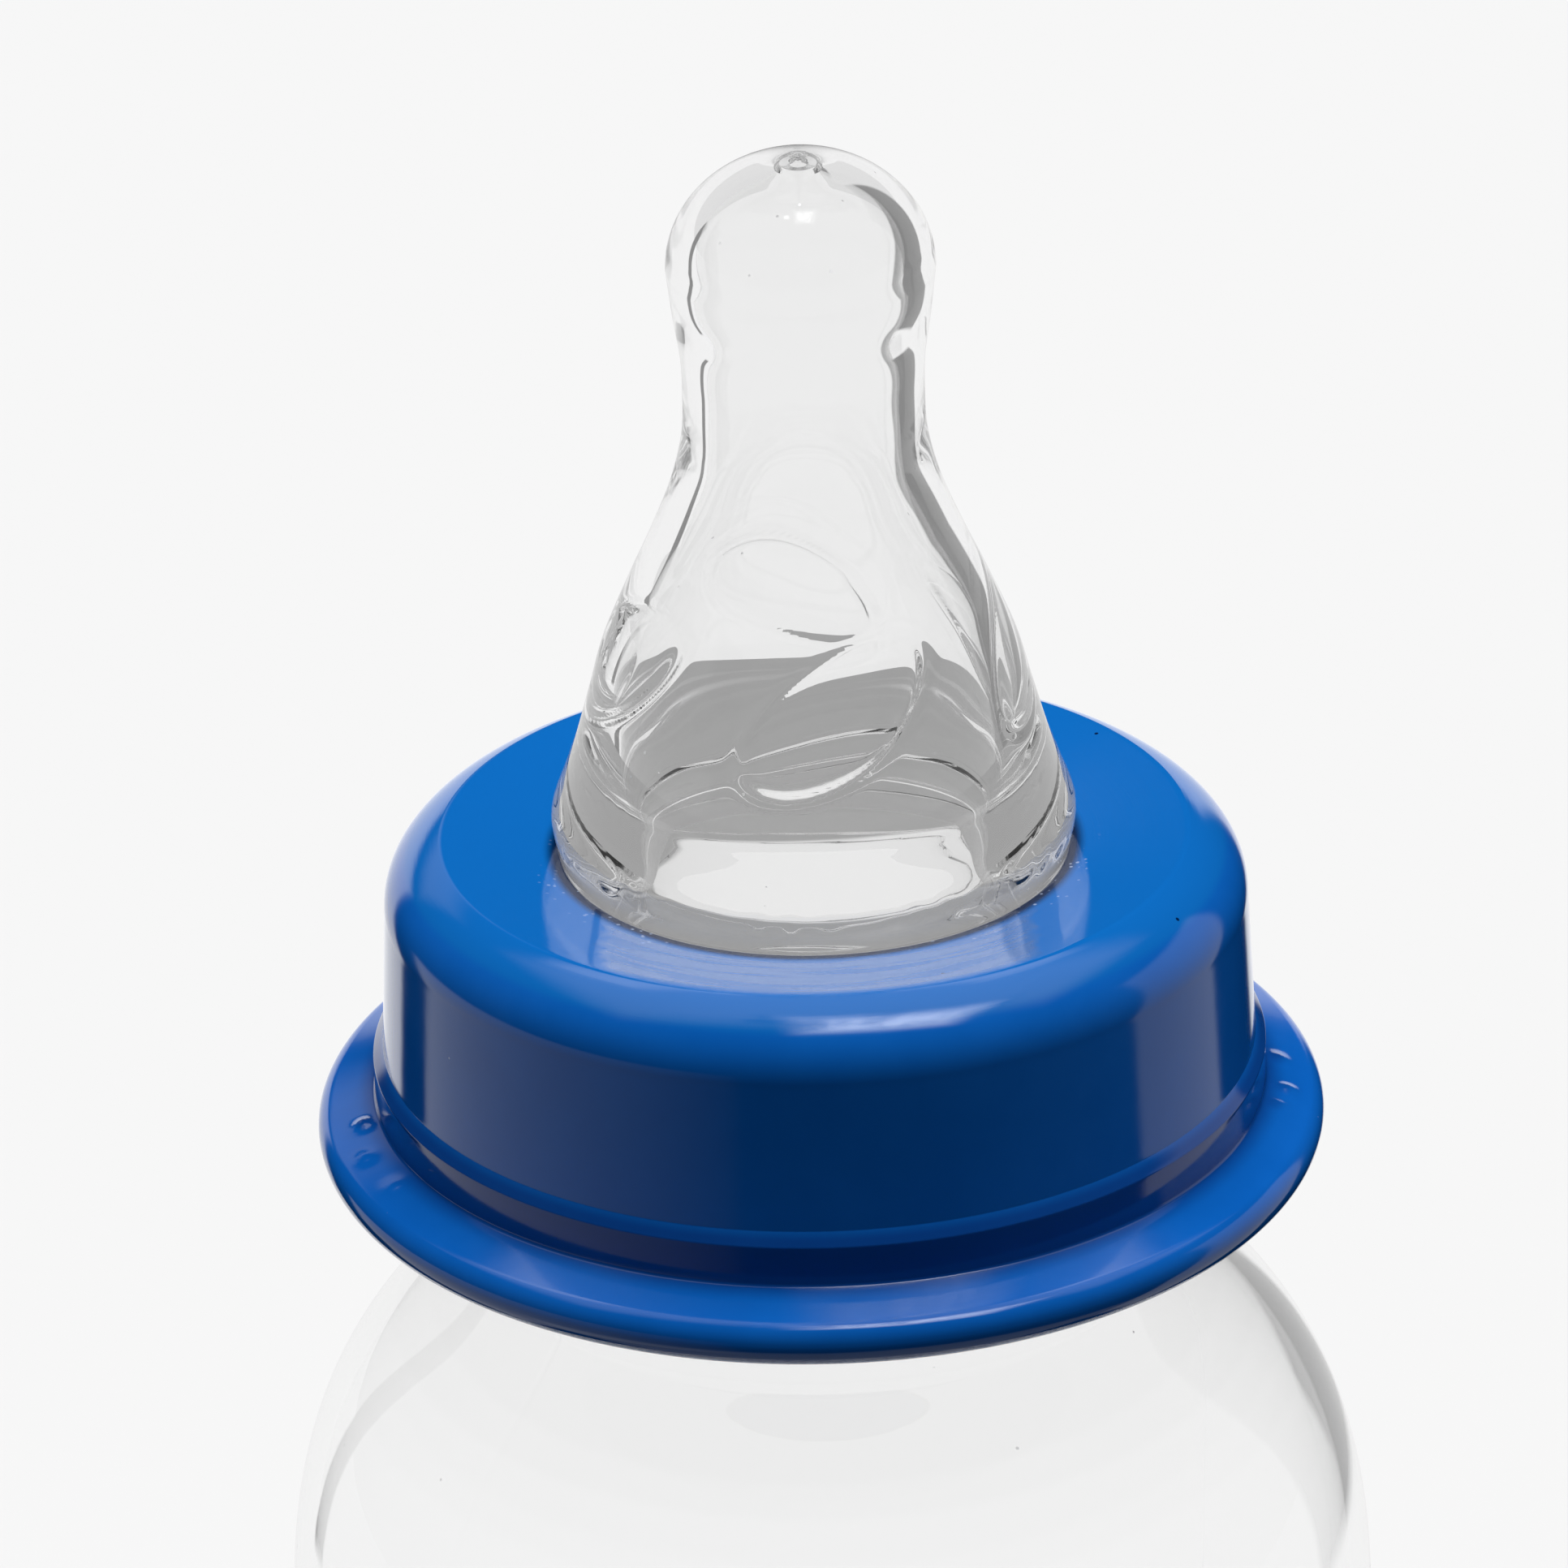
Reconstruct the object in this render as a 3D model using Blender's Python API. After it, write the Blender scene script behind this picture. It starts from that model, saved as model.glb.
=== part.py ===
"""Baby bottle with a standard neck: a clear bottle, a screw ring and a silicone teat.

The bottle stands on z = 0 and every piece is turned about the Z axis. The ring screws on the
neck with a right-handed thread, and it clamps the teat's sealing flange against the rim. Pieces
that touch on the real object keep GAP between them.
"""

import math

import bmesh
import bpy
from mathutils import Vector

MM = 0.001
GAP = 0.3 * MM

# Bottle: heights above the table.
BODY_RADIUS = 27.6 * MM
BODY_WALL = 1.4 * MM
BODY_TOP = 105.0 * MM
HEEL_RADIUS = 6.0 * MM
FOOT_INNER_RADIUS = 18.5 * MM
PUSH_UP = 2.2 * MM
FLOOR_THICKNESS = 2.0 * MM
NECK_RADIUS = 17.6 * MM
NECK_BORE_RADIUS = 15.5 * MM
NECK_FOOT = 126.6 * MM
RIM_HEIGHT = 143.2 * MM
RIM_ROUNDING = 0.5 * MM

# Handles of the shoulder's Bezier curves: a rise up the body, and a run out and a drop at the neck.
SHOULDER_RISE = 14.2 * MM
SHOULDER_RUN = 3.4 * MM
SHOULDER_DROP = 5.0 * MM
INNER_SHOULDER_RISE = 13.4 * MM
INNER_SHOULDER_RUN = 3.6 * MM
INNER_NECK_DROP = 1.2 * MM

# Teat: heights above the flat underside of its flange, which lies on the rim.
TEAT_BASE = RIM_HEIGHT + GAP
TEAT_FLANGE_RADIUS = 18.2 * MM
TEAT_FLANGE_THICKNESS = 1.6 * MM
TEAT_FLANGE_CHAMFER = 0.4 * MM
GROOVE_RADIUS = 11.0 * MM
LIP_HEIGHT = 4.1 * MM
LIP_RADIUS = 12.1 * MM
BULB_RADIUS = 6.4 * MM
BULB_HEIGHT = 34.1 * MM
TIP_RISE = 5.6 * MM
FEED_HOLE_RADIUS = 0.4 * MM
TIP_THICKNESS = 1.7 * MM
BULB_CAVITY_RADIUS = 4.95 * MM
TEAT_BORE_RADIUS = 9.4 * MM
TEAT_BORE_HEIGHT = 4.8 * MM
VENT_RADIUS = 0.6 * MM
VENT_PLACE_RADIUS = 13.4 * MM
VENT_CUTTER_DEPTH = 3 * TEAT_FLANGE_THICKNESS

# Radius and height, in millimetres, of the points that the teat's two surfaces pass through.
CONE_POINTS = ((12.8, 6.1), (11.55, 9.6), (10.1, 14.7), (7.5, 20.7), (5.85, 26.0), (5.85, 30.0))
CAVITY_POINTS = (
    (4.2, 30.2),
    (4.4, 28.4),
    (4.7, 24.6),
    (5.1, 22.2),
    (6.1, 20.1),
    (8.05, 16.0),
    (9.8, 8.5),
    (9.5, 6.4),
)

# Ring: heights above its flat underside.
RING_PLATE_UNDERSIDE = 13.6 * MM
RING_BASE = TEAT_BASE + TEAT_FLANGE_THICKNESS + GAP - RING_PLATE_UNDERSIDE
RING_HOLE_RADIUS = GROOVE_RADIUS + GAP
RING_HOLE_TOP = 15.5 * MM
RING_INNER_RADIUS = 19.3 * MM
RING_CHAMFER = 0.4 * MM
FLANGE_RADIUS = 25.0 * MM
FLANGE_EDGE_HEIGHT = 1.3 * MM
FLANGE_EDGE_RUN = 1.15 * MM
FLANGE_EDGE_END = 68.0
FLANGE_INNER_HEIGHT = 3.05 * MM
SKIRT_RADIUS = 22.1 * MM
SKIRT_TOP = 4.75 * MM
WALL_FOOT_RADIUS = 21.57 * MM
WALL_FOOT = 5.85 * MM
WALL_TOP_RADIUS = 21.2 * MM
WALL_TOP = 13.1 * MM
CORNER_RUN = 5.0 * MM
CORNER_RISE = 3.7 * MM
DISH_RADIUS = 18.3 * MM

# Threads: right-handed, one start. Heights above the table at the lower end of each ridge.
THREAD_LEAD = 4.5 * MM
NECK_THREAD_START = 134.7 * MM
NECK_THREAD_TURNS = 1.5
NECK_THREAD_CREST = 18.8 * MM
NECK_THREAD_HALF_WIDTH = 0.95 * MM
RING_THREAD_OFFSET = -1.6 * MM
RING_THREAD_LAG = 0.1
RING_THREAD_TURNS = 1.2
RING_THREAD_CREST = 18.05 * MM
RING_THREAD_HALF_WIDTH = 0.85 * MM
CREST_SHARE = 0.5
THREAD_ROOT_SINK = 0.5 * MM
THREAD_RUN_OUT = 0.12
END_SHARE = 0.15

BOTTLE_SEGMENTS = 52
RING_SEGMENTS = 52
TEAT_SEGMENTS = 40
VENT_SEGMENTS = 12
SHARP_ANGLE = 35.0
ON_AXIS = 1e-7


def clear_scene():
    for thing in list(bpy.data.objects):
        bpy.data.objects.remove(thing, do_unlink=True)


def plastic(name, colour, roughness, transmission=0.0, ior=1.5):
    """A Principled material for one moulded piece."""
    material = bpy.data.materials.new(name)
    material.use_nodes = True
    shader = material.node_tree.nodes["Principled BSDF"]
    shader.inputs["Base Color"].default_value = (*colour, 1.0)
    shader.inputs["Roughness"].default_value = roughness
    shader.inputs["Metallic"].default_value = 0.0
    shader.inputs["Transmission Weight"].default_value = transmission
    shader.inputs["IOR"].default_value = ior
    return material


def arc(centre, run, rise, start, end, steps):
    """Points of an elliptical arc in the (radius, height) plane, angles in degrees."""
    points = []
    for step in range(steps + 1):
        angle = math.radians(start + (end - start) * step / steps)
        points.append((centre[0] + run * math.cos(angle), centre[1] + rise * math.sin(angle)))
    return points


def bezier(start, start_handle, end_handle, end, steps):
    """Points of a cubic Bezier curve in the (radius, height) plane."""
    points = []
    for step in range(steps + 1):
        t = step / steps
        weights = ((1 - t) ** 3, 3 * t * (1 - t) ** 2, 3 * t * t * (1 - t), t**3)
        corners = (start, start_handle, end_handle, end)
        radius = sum(weight * corner[0] for weight, corner in zip(weights, corners))
        height = sum(weight * corner[1] for weight, corner in zip(weights, corners))
        points.append((radius, height))
    return points


def through(points, steps):
    """A smooth curve through the given (radius, height) points, with steps pieces between each two."""
    ends = [points[0], *points, points[-1]]
    curve = [points[0]]
    for before, start, end, after in zip(ends, ends[1:], ends[2:], ends[3:]):
        for step in range(1, steps + 1):
            t = step / steps
            place = []
            for axis in range(2):
                slope_in = (end[axis] - before[axis]) / 2
                slope_out = (after[axis] - start[axis]) / 2
                value = (2 * t**3 - 3 * t**2 + 1) * start[axis] + (t**3 - 2 * t**2 + t) * slope_in
                value += (3 * t**2 - 2 * t**3) * end[axis] + (t**3 - t**2) * slope_out
                place.append(value)
            curve.append(tuple(place))
    return curve


def link(name, mesh, material, height=0.0):
    """The object of this mesh, standing on the Z axis at this height."""
    mesh.materials.append(material)
    thing = bpy.data.objects.new(name, mesh)
    thing.location = (0.0, 0.0, height)
    bpy.context.scene.collection.objects.link(thing)
    return thing


def turned_mesh(name, outline, segments, closed):
    """Spins an outline once about the Z axis. An open outline starts and ends on the axis."""
    shape = bmesh.new()
    corners = [shape.verts.new((radius, 0.0, height)) for radius, height in outline]
    edges = [shape.edges.new(pair) for pair in zip(corners, corners[1:])]
    if closed:
        edges.append(shape.edges.new((corners[-1], corners[0])))
    bmesh.ops.spin(
        shape,
        geom=corners + edges,
        cent=(0.0, 0.0, 0.0),
        axis=(0.0, 0.0, 1.0),
        angle=2 * math.pi,
        steps=segments,
        use_merge=True,
    )
    bmesh.ops.remove_doubles(shape, verts=shape.verts[:], dist=ON_AXIS)
    bmesh.ops.recalc_face_normals(shape, faces=shape.faces[:])
    mesh = bpy.data.meshes.new(name)
    shape.to_mesh(mesh)
    shape.free()
    mesh.shade_smooth()
    mesh.set_sharp_from_angle(angle=math.radians(SHARP_ANGLE))
    return mesh


def thread_mesh(name, root_radius, crest_radius, half_width, start_turn, start_height, turns, segments):
    """A helical ridge with a trapezoid section that runs out to a small section at both ends.

    Its stations lie half a segment round from the corners of the wall that it joins.
    """
    depth = crest_radius - root_radius
    sink_radius = root_radius - math.copysign(THREAD_ROOT_SINK, depth)
    sink_share = (sink_radius - root_radius) / depth
    first_angle = 2 * math.pi * start_turn + math.pi / segments
    steps = round(turns * segments)
    shape = bmesh.new()
    stations = []
    for step in range(steps + 1):
        share = step / steps
        run_out = min(1.0, share / THREAD_RUN_OUT, (1 - share) / THREAD_RUN_OUT)
        fade = END_SHARE + (1 - END_SHARE) * math.sin(run_out * math.pi / 2)
        angle = first_angle + 2 * math.pi * step / segments
        height = start_height + THREAD_LEAD * step / segments
        crest = root_radius + depth * fade
        crest_half = half_width * CREST_SHARE * fade
        sink_half = half_width * fade * (1 - (1 - CREST_SHARE) * sink_share)
        lower = ((sink_radius, -sink_half), (crest, -crest_half))
        upper = ((crest, crest_half), (sink_radius, sink_half))
        outward = Vector((math.cos(angle), math.sin(angle), 0.0))
        places = [outward * radius + Vector((0.0, 0.0, height + rise)) for radius, rise in lower + upper]
        stations.append([shape.verts.new(place) for place in places])
    for station, following in zip(stations, stations[1:]):
        for corner in range(len(station)):
            after = (corner + 1) % len(station)
            shape.faces.new((station[corner], station[after], following[after], following[corner]))
    shape.faces.new(stations[0])
    shape.faces.new(stations[-1][::-1])
    bmesh.ops.recalc_face_normals(shape, faces=shape.faces[:])
    mesh = bpy.data.meshes.new(name)
    shape.to_mesh(mesh)
    shape.free()
    return mesh


def combine(thing, tool, operation):
    """Joins or cuts a hidden tool shape into a piece."""
    tool.hide_render = True
    tool.display_type = "WIRE"
    change = thing.modifiers.new(tool.name, "BOOLEAN")
    change.operation = operation
    change.solver = "EXACT"
    change.object = tool


def foot_dome(base, shares):
    """Points of the pushed-up middle of the base, at these shares of the foot's inner radius."""
    return [(FOOT_INNER_RADIUS * share, base + PUSH_UP * (1 - share**2)) for share in shares]


def bottle_outline():
    """Outside from the middle of the base up to the rim, then down the inside to the floor."""
    inner_radius = BODY_RADIUS - BODY_WALL
    inner_heel = HEEL_RADIUS - BODY_WALL
    heel_centre = (BODY_RADIUS - HEEL_RADIUS, HEEL_RADIUS)
    inner_heel_centre = (inner_radius - inner_heel, FLOOR_THICKNESS + inner_heel)
    inner_neck_foot = NECK_FOOT - INNER_NECK_DROP
    rim_centre = RIM_HEIGHT - RIM_ROUNDING
    shoulder = [
        (BODY_RADIUS, BODY_TOP),
        (BODY_RADIUS, BODY_TOP + SHOULDER_RISE),
        (NECK_RADIUS + SHOULDER_RUN, NECK_FOOT - SHOULDER_DROP),
        (NECK_RADIUS, NECK_FOOT),
    ]
    inner_shoulder = [
        (NECK_BORE_RADIUS, inner_neck_foot),
        (NECK_BORE_RADIUS + INNER_SHOULDER_RUN, inner_neck_foot - SHOULDER_DROP),
        (inner_radius, BODY_TOP + INNER_SHOULDER_RISE),
        (inner_radius, BODY_TOP),
    ]
    outline = foot_dome(0.0, (0.0, 0.5, 1.0))
    outline += arc(heel_centre, HEEL_RADIUS, HEEL_RADIUS, -90, 0, 6)
    outline += bezier(*shoulder, 10)
    outline += arc((NECK_RADIUS - RIM_ROUNDING, rim_centre), RIM_ROUNDING, RIM_ROUNDING, 0, 90, 2)
    outline += arc((NECK_BORE_RADIUS + RIM_ROUNDING, rim_centre), RIM_ROUNDING, RIM_ROUNDING, 90, 180, 2)
    outline += bezier(*inner_shoulder, 8)
    outline += arc(inner_heel_centre, inner_heel, inner_heel, 0, -90, 5)
    outline += foot_dome(FLOOR_THICKNESS, (1.0, 0.5, 0.0))
    return outline


def ring_outline():
    """Round the ring's section: flange, skirt, wall, rounded corner, dished top, hole and inside."""
    edge = (FLANGE_RADIUS - FLANGE_EDGE_RUN, FLANGE_EDGE_HEIGHT)
    corner_centre = (WALL_TOP_RADIUS - CORNER_RUN, WALL_TOP)
    corner_end = math.degrees(math.acos((DISH_RADIUS - corner_centre[0]) / CORNER_RUN))
    outline = [(RING_INNER_RADIUS + RING_CHAMFER, 0.0)]
    outline += arc(edge, FLANGE_EDGE_RUN, FLANGE_EDGE_HEIGHT, -90, 0, 4)
    outline += arc(edge, FLANGE_EDGE_RUN, FLANGE_EDGE_RUN, 0, FLANGE_EDGE_END, 4)[1:]
    outline += [(SKIRT_RADIUS, FLANGE_INNER_HEIGHT), (SKIRT_RADIUS, SKIRT_TOP)]
    outline += [(SKIRT_RADIUS - RING_CHAMFER / 2, SKIRT_TOP + RING_CHAMFER), (WALL_FOOT_RADIUS, WALL_FOOT)]
    outline += arc(corner_centre, CORNER_RUN, CORNER_RISE, 0, corner_end, 7)
    outline += [(RING_HOLE_RADIUS + RING_CHAMFER, RING_HOLE_TOP)]
    outline += [(RING_HOLE_RADIUS, RING_HOLE_TOP - RING_CHAMFER)]
    outline += [(RING_HOLE_RADIUS, RING_PLATE_UNDERSIDE)]
    outline += [(RING_INNER_RADIUS - RING_CHAMFER, RING_PLATE_UNDERSIDE)]
    outline += [(RING_INNER_RADIUS, RING_PLATE_UNDERSIDE - RING_CHAMFER)]
    outline += [(RING_INNER_RADIUS, RING_CHAMFER)]
    return outline


def in_metres(points):
    return [(radius * MM, height * MM) for radius, height in points]


def teat_outside():
    """From the edge of the flange, by the groove, lip, cone, stem and bulb, to the feed hole."""
    edge_radius = TEAT_FLANGE_RADIUS - TEAT_FLANGE_CHAMFER
    outline = [(edge_radius, 0.0), (TEAT_FLANGE_RADIUS, TEAT_FLANGE_CHAMFER)]
    outline += [(TEAT_FLANGE_RADIUS, TEAT_FLANGE_THICKNESS - TEAT_FLANGE_CHAMFER)]
    outline += [(edge_radius, TEAT_FLANGE_THICKNESS)]
    outline += [(GROOVE_RADIUS, TEAT_FLANGE_THICKNESS), (GROOVE_RADIUS, LIP_HEIGHT)]
    cone = [(LIP_RADIUS, LIP_HEIGHT), *in_metres(CONE_POINTS), (BULB_RADIUS, BULB_HEIGHT)]
    outline += through(cone, 3)
    outline += arc((0.0, BULB_HEIGHT), BULB_RADIUS, TIP_RISE, 0, 90, 7)[1:-1]
    outline += [(FEED_HOLE_RADIUS, BULB_HEIGHT + TIP_RISE)]
    return outline


def teat_inside():
    """The cavity, from the feed hole down. It narrows below the bulb, and ends in a straight bore."""
    rise = TIP_RISE - TIP_THICKNESS
    outline = [(FEED_HOLE_RADIUS, BULB_HEIGHT + rise)]
    outline += arc((0.0, BULB_HEIGHT), BULB_CAVITY_RADIUS, rise, 90, 0, 5)[1:-1]
    outline += through([(BULB_CAVITY_RADIUS, BULB_HEIGHT), *in_metres(CAVITY_POINTS)], 2)
    outline += [(TEAT_BORE_RADIUS, TEAT_BORE_HEIGHT), (TEAT_BORE_RADIUS, 0.0)]
    return outline


def build_bottle():
    mesh = turned_mesh("bottle", bottle_outline(), BOTTLE_SEGMENTS, closed=False)
    clear = plastic("bottle_clear_plastic", (0.93, 0.94, 0.95), 0.05, transmission=0.9, ior=1.49)
    bottle = link("bottle", mesh, clear)
    ridge = thread_mesh(
        "neck_thread",
        NECK_RADIUS,
        NECK_THREAD_CREST,
        NECK_THREAD_HALF_WIDTH,
        0.0,
        NECK_THREAD_START,
        NECK_THREAD_TURNS,
        BOTTLE_SEGMENTS,
    )
    combine(bottle, link("neck_thread", ridge, clear), "UNION")


def build_ring():
    mesh = turned_mesh("screw_ring", ring_outline(), RING_SEGMENTS, closed=True)
    blue = plastic("ring_blue_plastic", (0.005, 0.08, 0.4), 0.15)
    ring = link("screw_ring", mesh, blue, RING_BASE)
    start_height = NECK_THREAD_START + RING_THREAD_OFFSET + THREAD_LEAD * RING_THREAD_LAG
    ridge = thread_mesh(
        "ring_thread",
        RING_INNER_RADIUS,
        RING_THREAD_CREST,
        RING_THREAD_HALF_WIDTH,
        RING_THREAD_LAG,
        start_height - RING_BASE,
        RING_THREAD_TURNS,
        RING_SEGMENTS,
    )
    combine(ring, link("ring_thread", ridge, blue, RING_BASE), "UNION")


def build_teat():
    outline = teat_outside() + teat_inside()
    mesh = turned_mesh("teat", outline, TEAT_SEGMENTS, closed=True)
    silicone = plastic("teat_clear_silicone", (0.9, 0.9, 0.9), 0.12, transmission=0.85, ior=1.41)
    teat = link("teat", mesh, silicone, TEAT_BASE)
    shape = bmesh.new()
    bmesh.ops.create_cone(
        shape,
        cap_ends=True,
        segments=VENT_SEGMENTS,
        radius1=VENT_RADIUS,
        radius2=VENT_RADIUS,
        depth=VENT_CUTTER_DEPTH,
    )
    bmesh.ops.translate(shape, verts=shape.verts[:], vec=(VENT_PLACE_RADIUS, 0.0, 0.0))
    vent = bpy.data.meshes.new("vent_cutter")
    shape.to_mesh(vent)
    shape.free()
    combine(teat, link("vent_cutter", vent, silicone, TEAT_BASE), "DIFFERENCE")


def main():
    clear_scene()
    build_bottle()
    build_ring()
    build_teat()


main()
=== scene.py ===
"""Looks for a baby bottle: a clear bottle, a glossy blue screw ring and a clear silicone teat.

Every piece is turned about the Z axis and then given its own relief: threads, mould lines, pads and
blemishes. Outlines are in millimetres, as (radius, height) above the lowest point of their CAD node.
A third number in a corner is the radius that it is rounded with. Each outline runs up the outside and
down the inside, so that its outward side is on the right.
"""

import math

import bmesh
import bpy
import numpy as np
from mathutils import Matrix, Vector


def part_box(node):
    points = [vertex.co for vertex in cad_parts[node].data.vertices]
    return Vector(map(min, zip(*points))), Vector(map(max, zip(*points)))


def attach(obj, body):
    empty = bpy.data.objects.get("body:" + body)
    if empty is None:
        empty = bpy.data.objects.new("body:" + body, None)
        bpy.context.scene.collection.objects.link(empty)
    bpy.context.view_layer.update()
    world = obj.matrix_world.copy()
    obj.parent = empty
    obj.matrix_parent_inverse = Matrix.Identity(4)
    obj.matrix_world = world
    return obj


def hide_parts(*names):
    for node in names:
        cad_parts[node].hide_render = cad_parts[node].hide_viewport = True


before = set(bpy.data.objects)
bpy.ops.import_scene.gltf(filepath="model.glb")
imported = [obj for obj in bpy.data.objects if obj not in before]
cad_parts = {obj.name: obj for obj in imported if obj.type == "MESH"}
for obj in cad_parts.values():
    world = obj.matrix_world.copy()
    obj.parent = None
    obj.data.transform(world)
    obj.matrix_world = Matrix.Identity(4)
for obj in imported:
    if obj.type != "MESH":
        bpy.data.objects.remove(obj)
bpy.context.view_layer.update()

MM = 0.001
TURN = 2 * math.pi

# Places that the frame gives.
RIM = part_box("bottle")[1].z / MM
RING_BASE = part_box("screw_ring")[0].z
TEAT_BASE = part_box("teat")[0].z
BODY_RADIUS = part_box("bottle")[1].x / MM
FLANGE_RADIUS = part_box("screw_ring")[1].x / MM
TEAT_HEIGHT = (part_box("teat")[1].z - TEAT_BASE) / MM

# Threads, in millimetres above the table: one start, right-handed, as in the CAD.
THREAD_LEAD = 4.5
THREAD_RUN_OUT = 0.12
NECK_THREAD = {"start_height": 134.7, "start_turn": 0.0, "turns": 1.5, "width": 1.9, "depth": 1.2}
RING_THREAD = {"start_height": 133.55, "start_turn": 0.1, "turns": 1.2, "width": 1.7, "depth": 1.25}


# ---------------------------------------------------------------- outlines


def arc(centre, run, rise, start, end, steps):
    """Points of an elliptical arc, with angles in degrees."""
    angles = np.radians(np.linspace(start, end, steps + 1))
    return [(centre[0] + run * math.cos(a), centre[1] + rise * math.sin(a)) for a in angles]


def bezier(corners, steps):
    """Points of a cubic Bezier curve."""
    t = np.linspace(0, 1, steps + 1)[:, None]
    a, b, c, d = (np.array(corner, float) for corner in corners)
    curve = a * (1 - t) ** 3 + 3 * b * t * (1 - t) ** 2 + 3 * c * t**2 * (1 - t) + d * t**3
    return [tuple(point) for point in curve]


def through(points, spacing):
    """A smooth curve through the points, as a centripetal Catmull-Rom spline."""
    known = np.array(points, float)
    ends = np.vstack([2 * known[0] - known[1], known, 2 * known[-1] - known[-2]])
    curve = [tuple(known[0])]
    for before, start, end, after in zip(ends, ends[1:], ends[2:], ends[3:]):
        steps = max(2, round(np.linalg.norm(end - start) / spacing))
        spans = [np.linalg.norm(q - p) ** 0.5 for p, q in ((before, start), (start, end), (end, after))]
        k0, k1, k2, k3 = np.cumsum([0.0, *spans])
        for t in np.linspace(k1, k2, steps + 1)[1:]:
            a1 = (k1 - t) / (k1 - k0) * before + (t - k0) / (k1 - k0) * start
            a2 = (k2 - t) / (k2 - k1) * start + (t - k1) / (k2 - k1) * end
            a3 = (k3 - t) / (k3 - k2) * end + (t - k2) / (k3 - k2) * after
            b1 = (k2 - t) / (k2 - k0) * a1 + (t - k0) / (k2 - k0) * a2
            b2 = (k3 - t) / (k3 - k1) * a2 + (t - k1) / (k3 - k1) * a3
            curve.append(tuple((k2 - t) / (k2 - k1) * b1 + (t - k1) / (k2 - k1) * b2))
    return curve


def rounded(corners, steps=6):
    """An open line whose corners, given as (radius, height, fillet), are rounded off."""
    line = [corners[0][:2]]
    for before, corner, after in zip(corners, corners[1:], corners[2:]):
        here = np.array(corner[:2], float)
        back = np.array(before[:2], float) - here
        ahead = np.array(after[:2], float) - here
        back_length, ahead_length = np.linalg.norm(back), np.linalg.norm(ahead)
        opening = math.acos(np.clip(back @ ahead / back_length / ahead_length, -1, 1))
        reach = corner[2] / math.tan(opening / 2)
        start = here + back / back_length * reach
        end = here + ahead / ahead_length * reach
        for t in np.linspace(0, 1, steps + 1):
            blend = start * (1 - t) ** 2 + 2 * here * t * (1 - t) + end * t**2
            line.append(tuple(blend))
    line.append(corners[-1][:2])
    return line


def refined(line, longest):
    """The same line with no piece longer than this, and with doubled points left out."""
    points = [line[0]]
    for start, end in zip(line, line[1:]):
        length = math.dist(start, end)
        if length < 1e-6:
            continue
        steps = math.ceil(length / longest)
        for step in range(1, steps + 1):
            share = step / steps
            points.append(tuple(np.array(start) * (1 - share) + np.array(end) * share))
    return points


# ---------------------------------------------------------------- meshes


def angle_from(angle, other):
    """The turn from the other angle to this one, within half a turn either way."""
    return (angle - other + math.pi) % TURN - math.pi


def even_angles(count, seams=(), seam_width=0.03, seam_steps=9):
    """Angles round the axis, evenly spaced, with extra ones close round each seam."""
    angles = list(np.linspace(0, TURN, count, endpoint=False))
    for seam in seams:
        angles = [a for a in angles if abs(angle_from(a, seam)) > seam_width]
        angles += [(seam + s) % TURN for s in np.linspace(-seam_width, seam_width, seam_steps)]
    return np.array(sorted(angles))


def outward_normals(line, closed):
    """The unit normal on the right of a line, at each of its points."""
    if closed:
        along = np.roll(line, -1, 0) - np.roll(line, 1, 0)
    else:
        along = np.gradient(line, axis=0)
    outward = np.stack([along[:, 1], -along[:, 0]], 1)
    return outward / np.linalg.norm(outward, axis=1)[:, None]


def grid_faces(count, around, closed):
    """Quads between the rows of a grid that closes round the axis, and along the outline if closed."""
    rows = np.arange(count if closed else count - 1)[:, None]
    columns = np.arange(around)
    next_rows = (rows + 1) % count
    next_columns = (columns + 1) % around
    corners = ((rows, columns), (rows, next_columns), (next_rows, next_columns), (next_rows, columns))
    return np.stack([(row * around + column).ravel() for row, column in corners], 1)


def turned(name, outline, base, angles, relief, closed=False):
    """A mesh turned about Z. relief gives how far each point stands out, by angle, radius and height."""
    line = np.array(outline, float)
    count, around = len(line), len(angles)
    outward = outward_normals(line, closed)
    radius = np.repeat(line[:, :1], around, 1)
    height = np.repeat(line[:, 1:], around, 1)
    angle = np.repeat(angles[None, :], count, 0)
    offset = relief(angle, radius, height, outward[:, :1])
    radius = np.maximum(radius + offset * outward[:, :1], 0.0)
    height = height + offset * outward[:, 1:]
    places = np.stack([radius * np.cos(angle), radius * np.sin(angle), height], 2).reshape(-1, 3) * MM
    places[:, 2] += base
    mesh = bpy.data.meshes.new(name)
    mesh.from_pydata(places.tolist(), [], grid_faces(count, around, closed).tolist())
    shape = bmesh.new()
    shape.from_mesh(mesh)
    bmesh.ops.remove_doubles(shape, verts=shape.verts[:], dist=1e-8)
    shape.to_mesh(mesh)
    shape.free()
    mesh.shade_smooth()
    piece = bpy.data.objects.new(name, mesh)
    bpy.context.scene.collection.objects.link(piece)
    return piece


def smooth_step(value):
    """0 up to 0, 1 from 1 on, and an easy curve between them."""
    value = np.clip(value, 0, 1)
    return value * value * (3 - 2 * value)


def thread_relief(angle, height, start_height, start_turn, turns, width, depth):
    """How far a helical ridge stands out at this angle and height above the table."""
    relief = np.zeros_like(angle)
    for lap in range(-1, math.ceil(turns) + 1):
        share = angle / TURN + lap - start_turn
        centre = start_height + THREAD_LEAD * share
        run_out = np.minimum(share, turns - share) / THREAD_RUN_OUT
        across = 1 - (abs(height - centre) - width / 4) / (width / 4)
        relief = np.maximum(relief, depth * smooth_step(run_out) * smooth_step(across))
    return relief


# ---------------------------------------------------------------- shader nodes


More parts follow.
